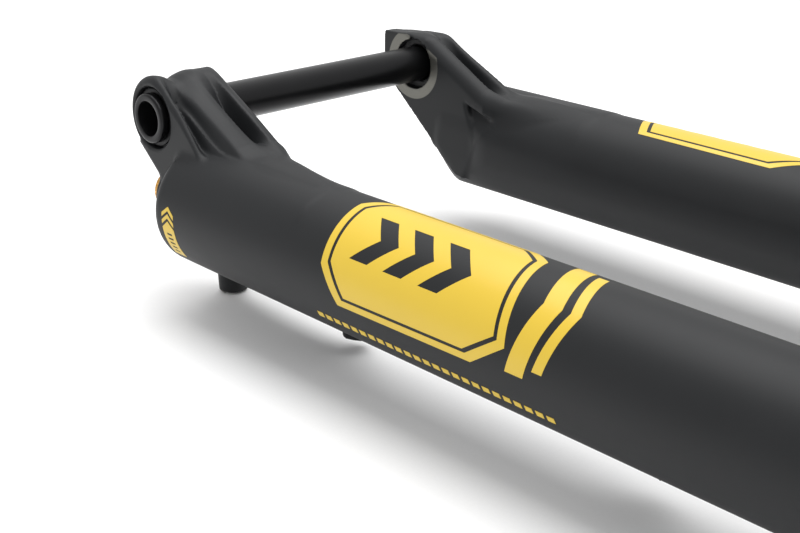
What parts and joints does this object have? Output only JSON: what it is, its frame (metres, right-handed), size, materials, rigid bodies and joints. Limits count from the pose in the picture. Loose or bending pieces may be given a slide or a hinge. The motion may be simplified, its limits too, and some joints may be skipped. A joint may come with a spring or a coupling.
{
  "type": "suspension fork",
  "caption": "Telescopic bicycle suspension fork with a tapered steerer, single crown, air spring, damper and bolt-in through axle.",
  "frame": {"origin": "the middle of the underside of its box, on the surface that the fork lies on", "axes": "+X up the legs from the axle to the steerer, +Y to the rider's right, +Z towards the front of the bike; the fork lies on its back"},
  "size_m": [0.7894, 0.1946, 0.0895],
  "materials": {
    "magnesium": "satin powder coat",
    "forged_black": "bead-blasted black anodising",
    "stanchion": "polished hard anodising",
    "black_anodised": "satin anodised",
    "gold_anodised": "satin anodised",
    "steel": "machined",
    "bushing_bronze": "coated bronze",
    "rubber": "matt moulded",
    "foam": "open-cell foam",
    "graphic_film": "printed film under satin lacquer",
    "clip_plastic": "moulded nylon"
  },
  "bodies": {
    "crown_unit": {"steerer_tube": "forged_black", "fork_crown": "forged_black", "stanchion_left": "stanchion", "stanchion_right": "stanchion", "damper_top_cap": "black_anodised", "air_top_cap": "black_anodised", "cartridge_tube": "steel", "compression_valve": "steel", "damper_seal_head": "black_anodised", "air_seal_head": "black_anodised", "circlip": "steel", "top_out_bumper": "rubber", "valve_stem": "steel"},
    "lowers": {"lowers_casting": "magnesium", "lower_bushing_left": "bushing_bronze", "lower_bushing_right": "bushing_bronze", "upper_bushing_left": "bushing_bronze", "upper_bushing_right": "bushing_bronze", "foam_ring_left": "foam", "foam_ring_right": "foam", "dust_wiper_left": "rubber", "dust_wiper_right": "rubber", "crush_washer_left": "steel", "crush_washer_right": "steel", "damper_rod": "steel", "damper_piston": "gold_anodised", "piston_band": "bushing_bronze", "damper_foot_nut": "black_anodised", "air_shaft": "steel", "air_piston": "black_anodised", "air_piston_seal": "rubber", "air_foot_bolt": "black_anodised", "bottom_out_bumper": "rubber", "axle_insert": "steel", "hose_guide": "clip_plastic", "hose_guide_screw": "steel"},
    "rebound_adjuster": {"rebound_knob": "gold_anodised", "metering_rod": "steel"},
    "axle_carrier": {"axle_washer": "steel"},
    "axle": {"thru_axle": "black_anodised"},
    "high_speed_adjuster": {"high_speed_dial": "black_anodised"},
    "low_speed_adjuster": {"low_speed_knob": "gold_anodised"},
    "floating_piston": {"floating_piston": "gold_anodised"},
    "air_valve_cap": {"valve_cap": "black_anodised"},
    "air_valve_pin": {"valve_pin": "steel"},
    "sag_ring": {"sag_ring": "rubber"}
  },
  "joints": [
    {"name": "fork_travel", "type": "slide", "parent": "crown_unit", "child": "lowers", "axis": [1, 0, 0], "range_m": [0, 0.16], "stiffness_N_per_m": 4500, "springref_m": -0.012},
    {"name": "rebound_turn", "type": "hinge", "parent": "lowers", "child": "rebound_adjuster", "pos_m": [-0.37826, -0.072, 0.04215], "axis": [1, 0, 0], "range_deg": [0, 330]},
    {"name": "axle_pull", "type": "slide", "parent": "lowers", "child": "axle_carrier", "axis": [0, -1, 0], "range_m": [0, 0.17]},
    {"name": "axle_turn", "type": "hinge", "parent": "axle_carrier", "child": "axle", "pos_m": [-0.37826, 0, 0.07245], "axis": [0, 1, 0], "continuous": true},
    {"name": "high_speed_turn", "type": "hinge", "parent": "crown_unit", "child": "high_speed_adjuster", "pos_m": [0.17874, -0.072, 0.04215], "axis": [1, 0, 0], "range_deg": [0, 180]},
    {"name": "low_speed_turn", "type": "hinge", "parent": "crown_unit", "child": "low_speed_adjuster", "pos_m": [0.18574, -0.072, 0.04215], "axis": [1, 0, 0], "range_deg": [0, 330]},
    {"name": "floating_piston_slide", "type": "slide", "parent": "crown_unit", "child": "floating_piston", "axis": [1, 0, 0], "range_m": [0, 0.028]},
    {"name": "valve_cap_turn", "type": "hinge", "parent": "crown_unit", "child": "air_valve_cap", "pos_m": [0.18574, 0.072, 0.04215], "axis": [1, 0, 0], "continuous": true},
    {"name": "valve_pin_press", "type": "slide", "parent": "crown_unit", "child": "air_valve_pin", "axis": [-1, 0, 0], "range_m": [0, 0.0015], "stiffness_N_per_m": 900, "springref_m": -0.001},
    {"name": "sag_ring_slide", "type": "slide", "parent": "crown_unit", "child": "sag_ring", "axis": [1, 0, 0], "range_m": [0, 0.16]}
  ],
  "couplings": [
    {"joint": "floating_piston_slide", "follows": "fork_travel", "ratio": 0.174},
    {"joint": "sag_ring_slide", "follows": "fork_travel", "ratio": 1}
  ]
}
